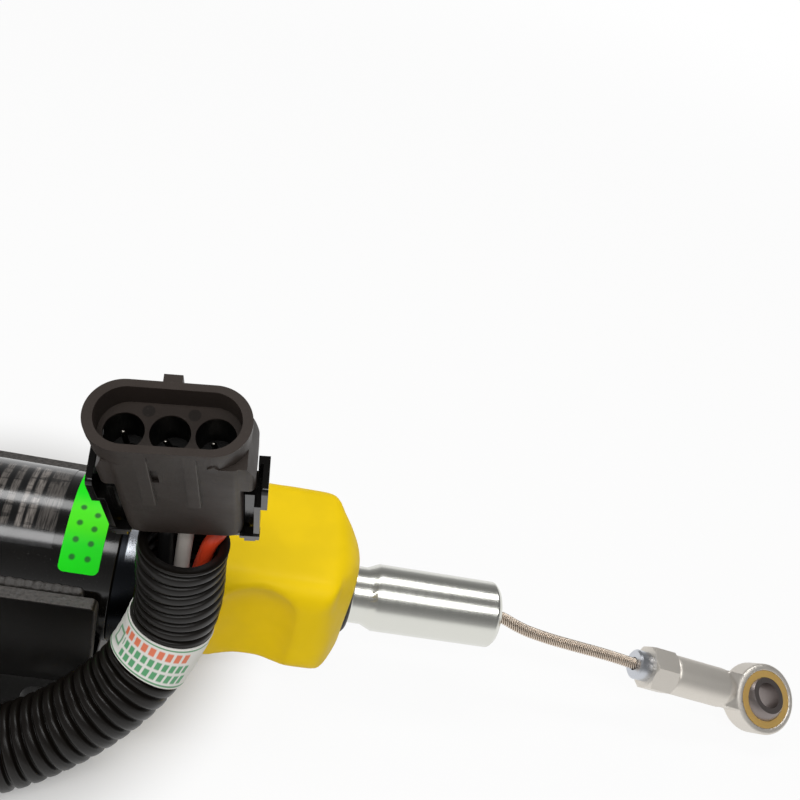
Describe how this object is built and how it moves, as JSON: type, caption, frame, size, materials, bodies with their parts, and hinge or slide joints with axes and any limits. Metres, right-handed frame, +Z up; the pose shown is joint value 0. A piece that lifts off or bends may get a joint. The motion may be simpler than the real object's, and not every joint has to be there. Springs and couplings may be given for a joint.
{
  "type": "fuel shutoff solenoid",
  "caption": "Pull-type fuel shutoff solenoid on a slotted base bracket, with a sliding plunger, wire rope and rod end, and a conduit harness to an oval connector.",
  "frame": {"origin": "centre of the four mounting slots, on the underside of the base bracket", "axes": "+X along the solenoid axis towards the rod end, +Z up from the base, +Y completes the right-handed frame"},
  "size_m": [0.349, 0.1075, 0.1235],
  "materials": {
    "black_paint": "gloss black paint",
    "zinc_plate": "bright zinc plate",
    "weld_metal": "painted weld bead",
    "bobbin_plastic": "natural nylon",
    "copper_winding": "enamelled copper winding",
    "bare_steel": "plain steel",
    "brass": "dull brass",
    "bright_steel": "turned and plated steel",
    "yellow_moulding": "satin yellow moulding",
    "black_rubber": "moulded rubber",
    "wire_rope": "stranded wire rope",
    "conduit_plastic": "satin corrugated plastic",
    "printed_paper": "coated paper band",
    "black_wire": "wire insulation",
    "white_wire": "wire insulation",
    "red_wire": "wire insulation",
    "connector_plastic": "glass filled nylon",
    "seal_rubber": "silicone",
    "lock_plastic": "gloss black plastic",
    "label_film": "printed film",
    "green_film": "fluorescent film"
  },
  "bodies": {
    "solenoid": {"can": "black_paint", "rear_cap": "black_paint", "front_plate": "zinc_plate", "base_bracket": "black_paint", "weld_beads": "weld_metal", "bobbin": "bobbin_plastic", "hold_coil": "copper_winding", "pull_coil": "copper_winding", "pole_piece": "bare_steel", "guide_tube": "brass", "return_spring": "bare_steel", "end_housing": "yellow_moulding", "wiper_seal": "black_rubber", "lead_boot": "black_rubber", "conduit": "conduit_plastic", "conduit_label": "printed_paper", "lead_black": "black_wire", "lead_white": "white_wire", "lead_red": "red_wire", "connector_housing": "connector_plastic", "terminal_pins": "bright_steel", "cable_seals": "seal_rubber", "terminal_lock": "lock_plastic", "rating_label": "label_film", "round_sticker": "green_film"},
    "plunger_unit": {"plunger": "bright_steel", "pull_cable": "wire_rope", "cable_stud": "zinc_plate", "jam_nut": "zinc_plate", "rod_end_body": "bare_steel", "rod_end_race": "brass"},
    "ball": {"rod_end_ball": "bright_steel"}
  },
  "joints": [
    {"name": "plunger_slide", "type": "slide", "parent": "solenoid", "child": "plunger_unit", "axis": [-1, 0, 0], "range_m": [0, 0.0254], "stiffness_N_per_m": 400, "springref_m": -0.02, "deforming": ["return_spring"]},
    {"name": "ball_swivel", "type": "hinge", "parent": "plunger_unit", "child": "ball", "pos_m": [0.2436, -0.005, 0.0107], "axis": [0.9888, -0.0207, -0.1478], "range_deg": [0, 26]}
  ]
}
